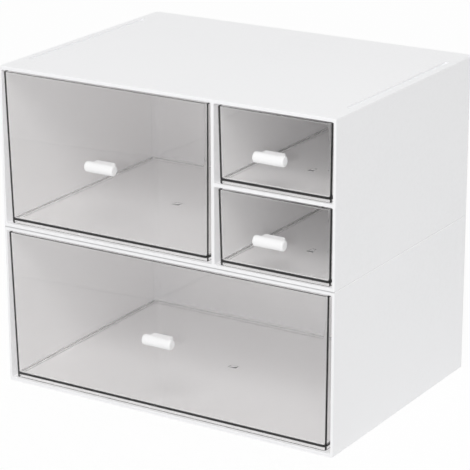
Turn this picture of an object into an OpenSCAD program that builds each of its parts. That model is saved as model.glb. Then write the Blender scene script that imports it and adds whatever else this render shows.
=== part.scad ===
// Desktop mini drawers: two stacked casings, one wide drawer below, and one
// large and two small drawers above. Millimetres, +Z up, the drawers open
// towards -Y. The origin is on the desk, under the middle of the whole object.

/* [Casings] */
// Outside width of a casing
casing_w = 260; // [220:5:320]
// Outside depth of a casing
casing_d = 191.4; // [160:0.2:240]
// Height of one casing
casing_h = 113.6; // [96:0.4:140]
// Thickness of the top and the floor
casing_wall = 2.5; // [2:0.1:3.5]
// Thickness of the side walls
side_wall = 1.8; // [1.6:0.1:3.5]
// Thickness of the back wall
back_wall = 2.5; // [1.6:0.1:4]
// Thickness of the upright divider in the upper casing
divider_wall = 2.4; // [1.8:0.1:4]
// Thickness of the shelf between the two small drawers
shelf_wall = 2.4; // [1.6:0.1:4]
// Width of the bay that holds the small drawers
small_bay_w = 87.6; // [70:0.2:110]
// Radius of the upright corners at the back
back_corner_r = 6; // [3.5:0.5:7]
// Radius of the upright corners at the front
front_corner_r = 0.8; // [0.6:0.1:1.6]
// Radius of the long outside edges
edge_r = 0.6; // [0.3:0.1:1]
// Radius in the corners of each bay, from its front to its back
bay_corner_r = 1.2; // [0.6:0.1:2]
// Radius of the upright corners at the back of each bay
bay_back_r = 3; // [2:0.1:3.4]
// Rounding of the edges round the mouth of each bay
mouth_r = 0.4; // [0.2:0.05:0.5]

/* [Stacking] */
// Width of the stacking grooves in the top
groove_w = 3; // [1.6:0.1:4]
// Depth of the stacking grooves
groove_depth = 1.2; // [0.8:0.1:1.4]
// Length of the stacking grooves
groove_len = 138; // [90:2:150]
// Distance from the side of the casing to the middle of a groove
groove_inset = 6.5; // [4:0.1:12]
// Gap round each stacking rail in its groove
rail_play = 0.3; // [0.1:0.05:0.4]

/* [Drawers] */
// Wall thickness of the clear trays
tray_wall = 1.8; // [1.4:0.1:2.1]
// Floor thickness of the clear trays
tray_floor = 1.4; // [1:0.1:3]
// Height of the skirt that carries the tray floor
skirt_h = 2; // [1.6:0.1:5]
// Lean of the tray walls, in degrees
draft = 1; // [0.4:0.1:1.6]
// How much shorter than its casing a tray is, along its top edge
tray_short = 12; // [9:0.5:40]
// Radius of the upright corners of a tray
tray_corner_r = 2.4; // [2.1:0.1:5]
// Gap between a tray and the floor of its bay
slide_play = 0.1; // [0.1:0.05:0.4]
// Gap over a tray
top_gap = 1.3; // [0.8:0.1:5]
// Gap beside the wide and the large tray, at the top edge
large_side_gap = 1.7; // [1.3:0.1:3]
// Gap beside a small tray, at the top edge
small_side_gap = 1.8; // [1:0.1:3]
// How far the wide and the large tray stand left of the middle of their bays
large_shift = 1; // [0:0.1:1.4]
// How far the small trays stand right of the middle of their bays
small_shift = 0.3; // [0:0.1:1.4]
// How far the front of the wide drawer lies behind the casing's front
wide_setback = 0.1; // [0:0.1:3]
// How far the front of the large drawer lies behind the casing's front
large_setback = 0.5; // [0:0.1:4]
// How far the fronts of the small drawers lie behind the casing's front
small_setback = 0.4; // [0:0.1:4]

/* [Handles] */
// Length of the handle bar
bar_len = 22.6; // [20:0.2:30]
// Diameter of the handle bar
bar_d = 7.2; // [6.8:0.2:10]
// Radius round the ends of the handle bar
bar_end_r = 1.2; // [0.4:0.1:2]
// Distance from the drawer front to the middle of the handle bar
bar_standoff = 6.4; // [5.6:0.1:12]
// Width of the neck that carries the bar
neck_w = 15.4; // [8:0.2:19]
// Height of the neck that carries the bar
neck_h = 6.2; // [4:0.1:7]
// Radius of the neck's four corners
neck_r = 1; // [0.4:0.1:1.8]
// Height of the wide drawer's handle over the middle of its front
wide_rise = -0.1; // [-5:0.1:20]
// Height of the large drawer's handle over the middle of its front
large_rise = -0.2; // [-5:0.1:20]
// Height of the small drawers' handles over the middle of their fronts
small_rise = -1.3; // [-5:0.1:10]
// How far the wide drawer's handle stands right of the middle of its front
wide_offset = 0.3; // [-5:0.1:5]
// How far the large drawer's handle stands right of the middle of its front
large_offset = 1.3; // [-5:0.1:5]
// How far the small drawers' handles stand right of the middle of their fronts
small_offset = 1.1; // [-5:0.1:5]

/* [Screws] */
// Shank diameter of the handle screws
screw_d = 2.5; // [2:0.1:3]
// Head diameter of the handle screws
screw_head_d = 5; // [4.6:0.1:7]
// Head height of the handle screws
screw_head_h = 1.9; // [1.6:0.1:2.6]
// Length of the screw shank under its head
screw_len = 8; // [5:0.5:9]
// Width of the cross slots in the screw head
slot_w = 0.8; // [0.5:0.1:1.2]
// Length of the cross slots in the screw head
slot_len = 3; // [2.4:0.1:4]
// Depth of the cross slots in the screw head
slot_depth = 1; // [0.6:0.1:1.3]
// Gap round the shank in the handle, on the radius
thread_play = 0.05; // [0.02:0.01:0.1]
// Gap round the shank in the drawer front, on the radius
hole_play = 0.25; // [0.1:0.05:0.5]

/* [Hidden] */

$fn = 48;
corner_fn = 32; // facets of a whole turn on the leaning tray corners
slab = 0.01;    // thickness of the slices that a leaning block spans
past = 1;       // how far a cut runs past the face that it opens
bore_end = 0.5; // depth of the screw hole past the end of the screw

// Rails under each casing fit the grooves of the one below
rail_w = groove_w - 2 * rail_play;
rail_h = groove_depth - rail_play;
rail_len = groove_len - 2 * rail_play;

// Levels of the two casings over the desk
lower_z = rail_h;
upper_z = lower_z + casing_h;

// Bays: middle in X, floor in Z, width and height of each opening
inner_w = casing_w - 2 * side_wall;
inner_h = casing_h - 2 * casing_wall;
large_bay_w = inner_w - divider_wall - small_bay_w;
small_bay_h = (inner_h - shelf_wall) / 2;
wide_bay = [0, lower_z + casing_wall, inner_w, inner_h];
large_bay = [(large_bay_w - inner_w) / 2, upper_z + casing_wall, large_bay_w, inner_h];
lower_small_bay = [(inner_w - small_bay_w) / 2, upper_z + casing_wall, small_bay_w, small_bay_h];
upper_small_bay = [lower_small_bay[0], lower_small_bay[1] + small_bay_h + shelf_wall,
                   small_bay_w, small_bay_h];

// Seats of the trays: their bays, moved sideways to where each tray stands
wide_seat = wide_bay - [large_shift, 0, 0, 0];
large_seat = large_bay - [large_shift, 0, 0, 0];
lower_small_seat = lower_small_bay + [small_shift, 0, 0, 0];
upper_small_seat = upper_small_bay + [small_shift, 0, 0, 0];

// Spots of the handles: offset and rise from the middle of each front
wide_spot = [wide_offset, wide_rise];
large_spot = [large_offset, large_rise];
small_spot = [small_offset, small_rise];

// The object's box runs from the bar of the wide drawer to the back of the casings
tray_len = casing_d - tray_short;
reach = bar_standoff * cos(draft) + wide_rise * sin(draft) + bar_d / 2;
front_y = (reach - wide_setback - lean(wide_bay, tray_h(wide_bay) / 2) - casing_d) / 2;

casing_colour = [0.93, 0.935, 0.94];
tray_colour = [0.45, 0.44, 0.43, 0.5];
handle_colour = [0.97, 0.97, 0.97];
screw_colour = [0.7, 0.71, 0.72];

// Height of the tray in a bay, and how far its walls have leaned in at a height
function tray_h(bay) = bay[3] - top_gap - slide_play;
function lean(bay, z) = (tray_h(bay) - z) * tan(draft);
// Place in Y of the tray's front along its top edge
function tray_front(setback) = front_y + setback;

// Rectangle in the first quadrant with a radius for its near and far corners
module soft_rect(w, h, near_r, far_r) {
    difference() {
        square([w, h]);
        corner_cut(near_r);
        translate([w, 0]) mirror([1, 0]) corner_cut(near_r);
        translate([0, h]) mirror([0, 1]) corner_cut(far_r);
        translate([w, h]) rotate(180) corner_cut(far_r);
    }
}

// What a radius takes off a corner at the origin
module corner_cut(r) {
    difference() {
        translate([-past, -past]) square(r + past);
        translate([r, r]) circle(r);
    }
}

// Slot outline of the given length along Y, round at both ends
module long_slot(w, len) {
    translate([-w / 2, w / 2 - len / 2]) square([w, len - w]);
    for (side = [-1, 1]) {
        translate([0, side * (len - w) / 2]) circle(w / 2);
    }
}

// Outside of a casing, standing on z = 0, with every edge rounded
module casing_block() {
    intersection() {
        translate([-casing_w / 2, front_y, 0])
            linear_extrude(casing_h) soft_rect(casing_w, casing_d, front_corner_r, back_corner_r);
        translate([-casing_w / 2, front_y + casing_d, 0]) rotate([90, 0, 0])
            linear_extrude(casing_d) soft_rect(casing_w, casing_h, edge_r, edge_r);
        translate([-casing_w / 2, front_y, 0]) rotate([90, 0, 90])
            linear_extrude(casing_w) soft_rect(casing_d, casing_h, edge_r, edge_r);
    }
}

// Hollow of one bay, open through the front of the casing
module bay_cut(bay) {
    depth = casing_d - back_wall;
    translate([bay[0] - bay[2] / 2, front_y, bay[1]]) {
        difference() {
            translate([0, depth, 0]) rotate([90, 0, 0]) linear_extrude(depth + past)
                soft_rect(bay[2], bay[3], bay_corner_r, bay_corner_r);
            translate([0, depth, 0]) back_corner(bay[3]);
            translate([bay[2], depth, 0]) mirror([1, 0, 0]) back_corner(bay[3]);
        }
        mouth_side(bay[3]);
        translate([bay[2], 0, 0]) mirror([1, 0, 0]) mouth_side(bay[3]);
        mouth_level(bay[2]);
        translate([0, 0, bay[3]]) mirror([0, 0, 1]) mouth_level(bay[2]);
        for (x = [bay_corner_r, bay[2] - bay_corner_r], z = [bay_corner_r, bay[3] - bay_corner_r]) {
            translate([x, 0, z]) mouth_corner();
        }
    }
}

// What stays of an upright corner at the back of a bay, drawn for the left one
module back_corner(h) {
    translate([0, 0, -past]) linear_extrude(h + 2 * past) mirror([0, 1]) corner_cut(bay_back_r);
}

// What the rounding takes off an upright edge of a bay's mouth
module mouth_side(h) {
    translate([-mouth_r, 0, bay_corner_r]) linear_extrude(h - 2 * bay_corner_r) mouth_profile();
}

// What the rounding takes off a level edge of a bay's mouth
module mouth_level(w) {
    translate([w - bay_corner_r, 0, -mouth_r]) rotate([0, -90, 0])
        linear_extrude(w - 2 * bay_corner_r) mouth_profile();
}

// What the rounding takes off a round corner of a bay's mouth
module mouth_corner() {
    rotate([-90, 0, 0]) rotate_extrude() difference() {
        translate([0, -past]) square([bay_corner_r + mouth_r, past + mouth_r]);
        translate([bay_corner_r + mouth_r, mouth_r]) circle(mouth_r);
    }
}

// Section of that rounding: the mouth is on the right, the casing's front below
module mouth_profile() {
    difference() {
        translate([0, -past]) square([mouth_r + past, past + mouth_r]);
        translate([0, mouth_r]) circle(mouth_r);
    }
}

// Both grooves, or both rails, drawn up from z = 0
module side_strips(w, len, h) {
    for (side = [-1, 1]) {
        translate([side * (casing_w / 2 - groove_inset), front_y + casing_d / 2, 0])
            linear_extrude(h) long_slot(w, len);
    }
}

// A casing at a level: grooves on top, rails below, and its bays
module casing(level, bays) {
    difference() {
        translate([0, 0, level]) casing_block();
        for (bay = bays) {
            bay_cut(bay);
        }
        translate([0, 0, level + casing_h - groove_depth])
            side_strips(groove_w, groove_len, groove_depth + past);
    }
    translate([0, 0, level - rail_h]) side_strips(rail_w, rail_len, rail_h + casing_wall / 2);
}

// Block with leaning walls between two heights, set in from the tray's outside
module leaning_block(bay, side_gap, low, high, inset) {
    top_w = bay[2] - 2 * side_gap;
    hull() {
        for (z = [low, high - slab]) {
            shrink = lean(bay, z) + inset;
            corner = tray_corner_r - inset;
            for (x = [-1, 1], y = [0, 1]) {
                translate([x * (top_w / 2 - shrink - corner),
                           shrink + corner + y * (tray_len - 2 * (shrink + corner)), z])
                    cylinder(r = corner, h = slab, $fn = corner_fn);
            }
        }
    }
}

// Puts its children on a drawer's front, which faces -Y and leans, at a spot off its middle
module on_front(bay, setback, spot) {
    mid = tray_h(bay) / 2;
    translate([bay[0], tray_front(setback) + lean(bay, mid), bay[1] + slide_play + mid])
        rotate([draft, 0, 0]) translate([spot[0], 0, spot[1]]) children();
}

// Clear tray, moulded in one piece with its front and the skirt under its floor
module tray(bay, side_gap, setback, spot) {
    difference() {
        translate([bay[0], tray_front(setback), bay[1] + slide_play]) difference() {
            leaning_block(bay, side_gap, 0, tray_h(bay), 0);
            leaning_block(bay, side_gap, skirt_h + tray_floor, tray_h(bay) + past, tray_wall);
            leaning_block(bay, side_gap, -past, skirt_h, tray_wall);
        }
        on_front(bay, setback, spot) rotate([90, 0, 0])
            cylinder(d = screw_d + 2 * hole_play, h = 2 * (tray_wall + past), center = true);
    }
}

// Round bar along X with softened ends
module bar() {
    rotate([0, 90, 0]) translate([0, 0, -bar_len / 2]) rotate_extrude() intersection() {
        translate([-bar_d / 2, 0]) soft_rect(bar_d, bar_len, bar_end_r, bar_end_r);
        square([bar_d, bar_len]);
    }
}

// White T-shaped handle with a blind hole for its screw
module handle(bay, setback, spot) {
    on_front(bay, setback, spot) difference() {
        union() {
            translate([0, -bar_standoff, 0]) bar();
            rotate([90, 0, 0]) linear_extrude(bar_standoff) translate([-neck_w / 2, -neck_h / 2])
                soft_rect(neck_w, neck_h, neck_r, neck_r);
        }
        translate([0, past, 0]) rotate([90, 0, 0])
            cylinder(d = screw_d + 2 * thread_play, h = past + screw_len - tray_wall + bore_end);
    }
}

// Pan-head screw from inside the tray into the handle
module screw(bay, setback, spot) {
    on_front(bay, setback, spot) translate([0, tray_wall * cos(draft), 0]) rotate([90, 0, 0]) {
        cylinder(d = screw_d, h = screw_len);
        translate([0, 0, -screw_head_h]) difference() {
            cylinder(d = screw_head_d, h = screw_head_h);
            for (turn = [0, 90]) {
                rotate(turn) translate([-slot_len / 2, -slot_w / 2, -past])
                    cube([slot_len, slot_w, past + slot_depth]);
            }
        }
    }
}

module lower_casing() { color(casing_colour) casing(lower_z, [wide_bay]); }
module upper_casing() {
    color(casing_colour) casing(upper_z, [large_bay, upper_small_bay, lower_small_bay]);
}

module wide_tray() {
    color(tray_colour) tray(wide_seat, large_side_gap, wide_setback, wide_spot);
}
module wide_handle() { color(handle_colour) handle(wide_seat, wide_setback, wide_spot); }
module wide_screw() { color(screw_colour) screw(wide_seat, wide_setback, wide_spot); }

module large_tray() {
    color(tray_colour) tray(large_seat, large_side_gap, large_setback, large_spot);
}
module large_handle() { color(handle_colour) handle(large_seat, large_setback, large_spot); }
module large_screw() { color(screw_colour) screw(large_seat, large_setback, large_spot); }

module upper_small_tray() {
    color(tray_colour) tray(upper_small_seat, small_side_gap, small_setback, small_spot);
}
module upper_small_handle() {
    color(handle_colour) handle(upper_small_seat, small_setback, small_spot);
}
module upper_small_screw() { color(screw_colour) screw(upper_small_seat, small_setback, small_spot); }

module lower_small_tray() {
    color(tray_colour) tray(lower_small_seat, small_side_gap, small_setback, small_spot);
}
module lower_small_handle() {
    color(handle_colour) handle(lower_small_seat, small_setback, small_spot);
}
module lower_small_screw() { color(screw_colour) screw(lower_small_seat, small_setback, small_spot); }

lower_casing();
upper_casing();
wide_tray();
wide_handle();
wide_screw();
large_tray();
large_handle();
large_screw();
upper_small_tray();
upper_small_handle();
upper_small_screw();
lower_small_tray();
lower_small_handle();
lower_small_screw();
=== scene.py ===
"""Looks of the desktop mini drawers: smoke-clear trays with rounded rims, materials, studio and camera."""

import math

import bmesh
import bpy
from mathutils import Matrix, Vector


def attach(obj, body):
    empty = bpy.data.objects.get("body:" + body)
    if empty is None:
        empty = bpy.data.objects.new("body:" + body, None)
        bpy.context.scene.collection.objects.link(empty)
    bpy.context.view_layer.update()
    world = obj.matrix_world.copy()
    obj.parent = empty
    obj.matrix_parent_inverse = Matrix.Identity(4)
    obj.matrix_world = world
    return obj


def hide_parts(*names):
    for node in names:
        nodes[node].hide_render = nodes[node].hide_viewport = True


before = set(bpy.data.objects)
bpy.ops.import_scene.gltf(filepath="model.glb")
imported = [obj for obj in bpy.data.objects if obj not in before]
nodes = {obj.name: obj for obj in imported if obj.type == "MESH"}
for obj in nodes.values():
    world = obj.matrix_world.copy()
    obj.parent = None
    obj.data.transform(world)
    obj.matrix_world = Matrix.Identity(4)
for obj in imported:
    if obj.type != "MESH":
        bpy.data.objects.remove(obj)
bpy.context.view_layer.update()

MM = 0.001

# The trays and the casings, as in the part's own source, in millimetres
WALL = 1.8           # tray wall
FLOOR = 1.4          # tray floor
SKIRT = 2.0          # height of the floor's underside over the tray's foot
CORNER = 2.4         # radius of a tray's upright corners
LENGTH = 179.4       # length of a tray along its top edge
DRAFT = 1.0          # lean of the tray walls, in degrees
LEAN = math.tan(math.radians(DRAFT))
HOLE = 1.5           # radius of the hole for the screw
FRONT_Y = -91.219    # front of the casings
JOINT_Z = 114.5      # level where the casings meet

# Only the looks have these, in millimetres
RIM_R = 0.55         # rounding of the rim's two edges
FOOT_R = 0.35        # rounding under the skirt
FILLET_R = 1.3       # fillet between the floor and the inside of the walls
LEAST_R = 0.35       # least radius of an upright corner on the inside
HOLD = 0.25          # distance of the rows that keep the flats flat
DRILL_LEN = 8.0      # length of the drill for the screw's hole

ARC = 8              # steps in a plan corner
TURN = 5             # steps in a rounding of the section
DRILL_STEPS = 40     # sides of the drill
SHARP = 40           # degrees from which an edge shades sharp

# The small round mark of the moulding gate: radius, and height over the floor's underside
GATE_MARK = ((4.6, 0.0), (4.3, 0.0), (4.0, -0.2), (3.4, -0.2), (3.1, 0.0),
             (1.2, 0.0), (0.9, 0.22), (0.5, 0.26))


# ---------------------------------------------------------------- trays

def section(height):
    """Points (inset, z) of a wall: from the floor inside, over the rim, to the floor's underside."""
    top = SKIRT + FLOOR

    def arc(ci, cz, r, a0, a1):
        out = []
        for k in range(TURN + 1):
            a = math.radians(a0 + (a1 - a0) * k / TURN)
            out.append((ci + r * math.cos(a), cz + r * math.sin(a)))
        return out

    pts = [(WALL + FILLET_R + HOLD, top)]
    pts += arc(WALL + FILLET_R, top + FILLET_R, FILLET_R, 270, 180)
    pts += [(WALL, top + FILLET_R + HOLD), (WALL, height - RIM_R - HOLD)]
    pts += arc(WALL - RIM_R, height - RIM_R, RIM_R, 0, 90)
    pts += arc(RIM_R, height - RIM_R, RIM_R, 90, 180)
    pts += [(0.0, height - RIM_R - HOLD), (0.0, FOOT_R + HOLD)]
    pts += arc(FOOT_R, FOOT_R, FOOT_R, 180, 270)
    pts += arc(WALL - FOOT_R, FOOT_R, FOOT_R, 270, 360)
    pts += [(WALL, FOOT_R + HOLD), (WALL, SKIRT - FOOT_R - HOLD)]
    pts += arc(WALL + FOOT_R, SKIRT - FOOT_R, FOOT_R, 180, 90)
    pts += [(WALL + FOOT_R + HOLD, SKIRT)]
    return pts


def plan_ring(width, shrink, radius):
    """Rounded rectangle in the plan: x from the middle, y from the tray's front top edge."""
    hx, y0, y1 = width / 2 - shrink, shrink, LENGTH - shrink
    ring = []
    for sx, yc, a0 in ((1, y0, 270), (1, y1, 0), (-1, y1, 90), (-1, y0, 180)):
        cx = sx * (hx - radius)
        cy = yc + radius if yc == y0 else yc - radius
        steps = []
        for k in range(ARC + 1):
            a = math.radians(a0 + 90 * k / ARC)
            steps.append((cx + radius * math.cos(a), cy + radius * math.sin(a)))
        first, last = steps[0], steps[-1]
        a = math.radians(a0)
        before = (first[0] + HOLD * math.sin(a), first[1] - HOLD * math.cos(a))
        a = math.radians(a0 + 90)
        after = (last[0] - HOLD * math.sin(a), last[1] + HOLD * math.cos(a))
        ring += [before] + steps + [after]
    return ring


def bridge(bm, a, b):
    """Faces between two loops with the same number of points."""
    n = len(a)
    for i in range(n):
        bm.faces.new((a[i], a[(i + 1) % n], b[(i + 1) % n], b[i]))


def close_with_gate(bm, row, gate_y):
    """Closes the floor's underside, with the gate's mark in it."""
    last = row
    for r, rise in GATE_MARK:
        loop = []
        for v in row:
            a = math.atan2(v.co.y - gate_y, v.co.x)
            loop.append(bm.verts.new((r * math.cos(a), gate_y + r * math.sin(a), SKIRT - rise)))
        bridge(bm, last, loop)
        last = loop
    bm.faces.new(last)


def new_object(name, bm):
    """An object in the scene with the mesh that was built, which is then let go."""
    mesh = bpy.data.meshes.new(name)
    bm.to_mesh(mesh)
    bm.free()
    obj = bpy.data.objects.new(name, mesh)
    bpy.context.scene.collection.objects.link(obj)
    return obj


def tray(name, node, width, height, corner, gate_y, hole):
    """One tray as a closed shell. corner: the middle of its front's top edge in x and y, its foot in z."""
    bm = bmesh.new()
    rows = []
    for inset, z in section(height):
        shrink = (height - z) * LEAN + inset
        ring = plan_ring(width, shrink, max(CORNER - inset, LEAST_R))
        rows.append([bm.verts.new((x, y, z)) for x, y in ring])
    for a, b in zip(rows, rows[1:]):
        bridge(bm, a, b)
    bm.faces.new(rows[0])
    close_with_gate(bm, rows[-1], gate_y)
    bmesh.ops.recalc_face_normals(bm, faces=bm.faces)
    for v in bm.verts:
        v.co = Vector(((v.co.x + corner[0]) * MM, (v.co.y + corner[1]) * MM, (v.co.z + corner[2]) * MM))
    obj = new_object(name, bm)
    bore(obj, corner[0] + hole[0], corner[1] + height / 2 * LEAN, corner[2] + hole[1])
    for p in obj.data.polygons:
        p.use_smooth = True
    obj.data.set_sharp_from_angle(angle=math.radians(SHARP))
    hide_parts(node)
    return obj


def bore(obj, x, y, z):
    """Drills the screw's hole through a tray's front."""
    bm = bmesh.new()
    along = Matrix.Translation((x * MM, y * MM, z * MM)) @ Matrix.Rotation(math.radians(90 + DRAFT), 4, "X")
    bmesh.ops.create_cone(bm, cap_ends=True, segments=DRILL_STEPS, radius1=HOLE * MM, radius2=HOLE * MM,
                          depth=DRILL_LEN * MM, matrix=along)
    drill = new_object("drill", bm)
    mesh = drill.data
    cut = obj.modifiers.new("bore", "BOOLEAN")
    cut.operation, cut.solver, cut.object = "DIFFERENCE", "EXACT", drill
    bpy.context.view_layer.update()
    done = bpy.data.meshes.new_from_object(obj.evaluated_get(bpy.context.evaluated_depsgraph_get()))
    obj.modifiers.clear()
    old, obj.data = obj.data, done
    bpy.data.meshes.remove(old)
    done.name = obj.name
    bpy.data.objects.remove(drill)
    bpy.data.meshes.remove(mesh)


# ------------------------------------------------------------ materials

def material(name):
    """A new node material, its Principled shader, and a helper that adds nodes to it."""
    mat = bpy.data.materials.new(name)
    mat.use_nodes = True
    tree = mat.node_tree
    shader = tree.nodes["Principled BSDF"]

    def add(kind, links=None, **values):
        """values starting with in_ are set on the input of that name, the others on the node."""
        n = tree.nodes.new(kind)
        for k, v in values.items():
            if k.startswith("in_"):
                n.inputs[k[3:].replace("_", " ")].default_value = v
            else:
                setattr(n, k, v)
        for socket, source in (links or {}).items():
            tree.links.new(source, n.inputs[socket])
        return n

    return mat, tree, shader, add


def noise(add, coords, scale, detail=2.0, rough=0.5):
    """A noise texture over the object's own coordinates."""
    texture = add("ShaderNodeTexNoise", {"Vector": coords},
                  in_Scale=scale, in_Detail=detail, in_Roughness=rough)
    return texture.outputs["Fac"]


def two_tones(add, amount, low, high, places=(0.0, 1.0)):
    """A colour that goes from low to high as amount goes from one place to the other."""
    ramp = add("ShaderNodeValToRGB", {"Fac": amount})
    for stop, place, colour in zip(ramp.color_ramp.elements, places, (low, high)):
        stop.position, stop.color = place, (*colour, 1)
    return ramp.outputs["Color"]


def between(add, amount, low, high):
    """A value from low to high."""
    return add("ShaderNodeMapRange", {"Value": amount}, in_To_Min=low, in_To_Max=high).outputs["Result"]


def fading(add, amount, full, gone):
    """1 up to full, 0 from gone on, both in millimetres, with a soft step between them."""
    step = add("ShaderNodeMapRange", {"Value": amount}, interpolation_type="SMOOTHSTEP",
               in_From_Min=full * MM, in_From_Max=gone * MM, in_To_Min=1.0, in_To_Max=0.0)
    return step.outputs["Result"]


def relief(add, height, strength, depth):
    """Bump from a height, with its depth in metres."""
    bump = add("ShaderNodeBump", {"Height": height}, in_Strength=strength, in_Distance=depth)
    return bump.outputs["Normal"]


def joint_painted_shade(add, coords, colour, keep=0.66, full=0.2, gone=0.65, behind=(0.8, 1.2)):
    """Painted shade in the groove of the joint between the casings, along the front: the colour there keeps
    that share of itself.
    """
    place = add("ShaderNodeSeparateXYZ", {0: coords})
    off = add("ShaderNodeMath", {0: place.outputs["Z"]}, operation="SUBTRACT")
    off.inputs[1].default_value = JOINT_Z * MM
    off = add("ShaderNodeMath", {0: off.outputs[0]}, operation="ABSOLUTE")
    level = fading(add, off.outputs[0], full, gone)
    front = fading(add, place.outputs["Y"], FRONT_Y + behind[0], FRONT_Y + behind[1])
    both = add("ShaderNodeMath", {0: level, 1: front}, operation="MULTIPLY")
    kept = between(add, both.outputs[0], 1.0, keep)
    scaled = add("ShaderNodeVectorMath", {"Vector": colour, "Scale": kept}, operation="SCALE")
    return scaled.outputs["Vector"]


def moulded(name, pale, shade, rough, grain, depth, marks=None):
    """White moulded plastic: faint flow marks in the colour, uneven gloss and a fine spark-eroded grain."""
    mat, tree, shader, add = material(name)
    coords = add("ShaderNodeTexCoord").outputs["Object"]
    flow = noise(add, coords, 9.0, 3.0, 0.55)
    speck = noise(add, coords, 420.0)
    tone = add("ShaderNodeMath", {0: flow, 1: speck}, operation="ADD")
    colour = two_tones(add, tone.outputs[0], shade, pale, (0.7, 1.0))
    # marks, where given, puts painted shade over the colour
    if marks:
        colour = marks(add, coords, colour)
    gloss = between(add, noise(add, coords, 60.0, 3.0), rough - 0.05, rough + 0.06)
    tree.links.new(colour, shader.inputs["Base Color"])
    tree.links.new(gloss, shader.inputs["Roughness"])
    tree.links.new(relief(add, noise(add, coords, grain), 0.6, depth), shader.inputs["Normal"])
    return mat


def smoke_clear(name):
    """Smoke-tinted clear plastic: the tint is in the body, so thick and edge-on parts are darker.

    Light on its way to the plain surfaces goes straight through the walls, a little dimmed by each face.
    """
    mat, tree, shader, add = material(name)
    coords = add("ShaderNodeTexCoord").outputs["Object"]
    shader.inputs["Transmission Weight"].default_value = 1.0
    shader.inputs["IOR"].default_value = 1.52
    cloud = noise(add, coords, 14.0, 3.0)
    tint = two_tones(add, cloud, (0.984, 0.979, 0.974), (0.998, 0.995, 0.991), (0.3, 0.7))
    tree.links.new(tint, shader.inputs["Base Color"])
    tree.links.new(between(add, noise(add, coords, 35.0, 3.0), 0.015, 0.05), shader.inputs["Roughness"])
    tree.links.new(relief(add, noise(add, coords, 22.0, 1.0), 0.25, 0.0004), shader.inputs["Normal"])
    through = add("ShaderNodeBsdfTransparent", in_Color=(0.989, 0.987, 0.985, 1))
    path = add("ShaderNodeLightPath")
    soft = add("ShaderNodeMath", {0: path.outputs["Is Shadow Ray"], 1: path.outputs["Is Diffuse Ray"]},
               operation="MAXIMUM")
    mix = add("ShaderNodeMixShader", {0: soft.outputs[0], 1: shader.outputs[0], 2: through.outputs[0]})
    body = add("ShaderNodeVolumeAbsorption", in_Color=(0.40, 0.375, 0.355, 1), in_Density=9.0)
    out = tree.nodes["Material Output"]
    tree.links.new(mix.outputs[0], out.inputs["Surface"])
    tree.links.new(body.outputs[0], out.inputs["Volume"])
    return mat


def zinc(name):
    """Zinc-plated steel with a faint turned grain and dull spots."""
    mat, tree, shader, add = material(name)
    coords = add("ShaderNodeTexCoord").outputs["Object"]
    shader.inputs["Metallic"].default_value = 1.0
    tone = two_tones(add, noise(add, coords, 900.0, 3.0), (0.42, 0.43, 0.45), (0.72, 0.73, 0.75))
    tree.links.new(tone, shader.inputs["Base Color"])
    tree.links.new(between(add, noise(add, coords, 1600.0), 0.22, 0.42), shader.inputs["Roughness"])
    turned = add("ShaderNodeTexWave", {"Vector": coords}, wave_type="RINGS", rings_direction="Y",
                 in_Scale=900.0, in_Distortion=3.0)
    tree.links.new(relief(add, turned.outputs["Fac"], 0.2, 0.00002), shader.inputs["Normal"])
    return mat


def dress(obj, mat):
    """Gives an object one material."""
    obj.data.materials.clear()
    obj.data.materials.append(mat)


# ---------------------------------------------------------------- pieces

# name, pale and darker tone, roughness, scale of the grain, depth of the grain in metres, and marks; the
# casings' mark is painted shade in their joint
casing_white = moulded("casing_plastic", (0.952, 0.953, 0.963), (0.932, 0.933, 0.943),
                       0.42, 2600.0, 0.00003, joint_painted_shade)
handle_white = moulded("handle_plastic", (0.97, 0.97, 0.972), (0.95, 0.95, 0.953),
                       0.3, 3400.0, 0.000012)
tray_clear = smoke_clear("tray_plastic")
screw_zinc = zinc("screw_zinc")

for n in ("lower_casing", "upper_casing"):
    dress(nodes[n], casing_white)
for n in nodes:
    if n.endswith("_handle"):
        dress(nodes[n], handle_white)
    if n.endswith("_screw"):
        dress(nodes[n], screw_zinc)

# Sizes over the top edge of each kind of tray: width, height, setback, gate's place in y, hole's in x and z
WIDE = (253.0, 107.2, 0.1, 91.0, (0.3, 53.5))
LARGE = (163.0, 107.2, 0.5, 89.0, (1.3, 53.4))
SMALL = (84.0, 51.7, 0.4, 50.0, (1.1, 24.55))
TRAYS = {
    # piece: node, body, sizes, middle in x, foot in z
    "wide_tray_shell": ("wide_tray", "wide_drawer", WIDE, -1.0, 3.5),
    "large_tray_shell": ("large_tray", "large_drawer", LARGE, -46.0, 117.1),
    "upper_small_tray_shell": ("upper_small_tray", "upper_small_drawer", SMALL, 84.7, 172.6),
    "lower_small_tray_shell": ("lower_small_tray", "lower_small_drawer", SMALL, 84.7, 117.1),
}
for piece, (node, body, sizes, middle, foot) in TRAYS.items():
    width, height, setback, gate_y, hole = sizes
    obj = tray(piece, node, width, height, (middle, FRONT_Y + setback, foot), gate_y, hole)
    dress(obj, tray_clear)
    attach(obj, body)


# ---------------------------------------------------------------- studio

SHEET_HALF = 4.0      # half the side of the white sheet, in metres
SHEET_GLOW = 0.95     # share of plain white in the sheet where it's seen; the rest takes the shadow
SKY = 0.645           # strength of the surround on the object
WHITE = (1, 1, 1, 1)


def plain_view(tree):
    """1 for rays that see the studio straight, in a reflection or through a tray, 0 for the others."""
    path = tree.nodes.new("ShaderNodeLightPath")
    seen = path.outputs["Is Camera Ray"]
    for kind in ("Is Glossy Ray", "Is Transmission Ray"):
        most = tree.nodes.new("ShaderNodeMath")
        most.operation = "MAXIMUM"
        tree.links.new(seen, most.inputs[0])
        tree.links.new(path.outputs[kind], most.inputs[1])
        seen = most.outputs[0]
    return seen


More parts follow.
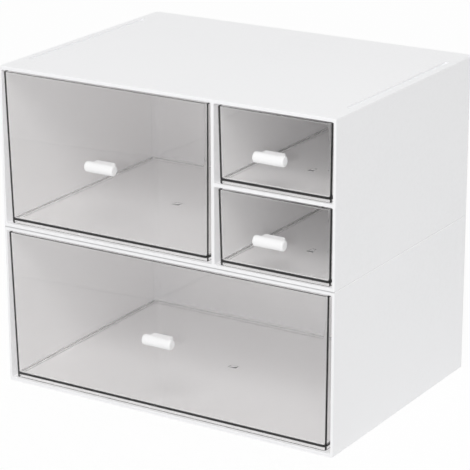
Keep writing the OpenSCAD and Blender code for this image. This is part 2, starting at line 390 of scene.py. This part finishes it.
def studio_floor():
    """A white sheet that keeps a faint shadow of the object."""
    bm = bmesh.new()
    bmesh.ops.create_grid(bm, x_segments=24, y_segments=24, size=SHEET_HALF)
    obj = new_object("studio_floor", bm)
    mat, tree, shader, add = material("studio_paper")
    coords = add("ShaderNodeTexCoord").outputs["Object"]
    paper = two_tones(add, noise(add, coords, 3.0), (0.92, 0.92, 0.92), (0.95, 0.95, 0.95))
    tree.links.new(paper, shader.inputs["Base Color"])
    shader.inputs["Roughness"].default_value = 0.9
    glow = add("ShaderNodeEmission", in_Strength=1.0, in_Color=WHITE)
    share = add("ShaderNodeMath", {0: plain_view(tree)}, operation="MULTIPLY")
    share.inputs[1].default_value = SHEET_GLOW
    mix = add("ShaderNodeMixShader", {0: share.outputs[0], 1: shader.outputs[0], 2: glow.outputs[0]})
    tree.links.new(mix.outputs[0], tree.nodes["Material Output"].inputs["Surface"])
    obj.data.materials.append(mat)


def studio_sky(level):
    """An even white surround: level lights the object, and the camera sees plain white."""
    world = bpy.data.worlds.new("studio")
    world.use_nodes = True
    bpy.context.scene.world = world
    tree = world.node_tree
    back = tree.nodes["Background"]
    back.inputs["Color"].default_value = WHITE
    span = tree.nodes.new("ShaderNodeMapRange")
    span.inputs["To Min"].default_value = level
    span.inputs["To Max"].default_value = 1.0
    tree.links.new(plain_view(tree), span.inputs["Value"])
    tree.links.new(span.outputs["Result"], back.inputs["Strength"])


def softbox(name, at, to, size, watts):
    """A large soft lamp."""
    lamp = bpy.data.lights.new(name, "AREA")
    lamp.shape, lamp.size, lamp.size_y, lamp.energy = "RECTANGLE", size[0], size[1], watts
    obj = bpy.data.objects.new(name, lamp)
    obj.location = at
    obj.rotation_euler = (Vector(to) - Vector(at)).to_track_quat("-Z", "Y").to_euler()
    bpy.context.scene.collection.objects.link(obj)


studio_floor()
studio_sky(SKY)
softbox("key_box", (0.8, -1.9, 2.1), (0, 0, 0.1), (1.2, 0.9), 26.0)

# ---------------------------------------------------------------- camera

# The photo's camera: direction and roll in radians, place in metres, lens and sensor in millimetres
AZIMUTH, ELEVATION, ROLL = 0.555496051, 0.321662625, -0.00287420288
CAMERA_AT = Vector((0.787860, -1.269513, 0.602460))
LENS, SENSOR = 174.063, 36.0

cam = bpy.data.cameras.new("camera")
cam.sensor_width, cam.lens = SENSOR, LENS
cam.clip_start, cam.clip_end = 0.05, 60.0
view = bpy.data.objects.new("camera", cam)
bpy.context.scene.collection.objects.link(view)
level = math.cos(ELEVATION)
ahead = Vector((-math.sin(AZIMUTH) * level, math.cos(AZIMUTH) * level, -math.sin(ELEVATION)))
right = Vector((math.cos(AZIMUTH), math.sin(AZIMUTH), 0.0))
up = right.cross(ahead)
side = math.cos(ROLL) * right + math.sin(ROLL) * up
over = math.cos(ROLL) * up - math.sin(ROLL) * right
view.matrix_world = Matrix.Translation(CAMERA_AT) @ Matrix((side, over, -ahead)).transposed().to_4x4()
bpy.context.scene.camera = view
bpy.context.scene.view_settings.view_transform = "Standard"

# Many bounces, so that the bays behind the clear fronts stay bright
cycles = bpy.context.scene.cycles
cycles.max_bounces, cycles.diffuse_bounces, cycles.glossy_bounces = 24, 12, 8
cycles.transmission_bounces, cycles.transparent_max_bounces = 16, 64
cycles.blur_glossy = 0.0
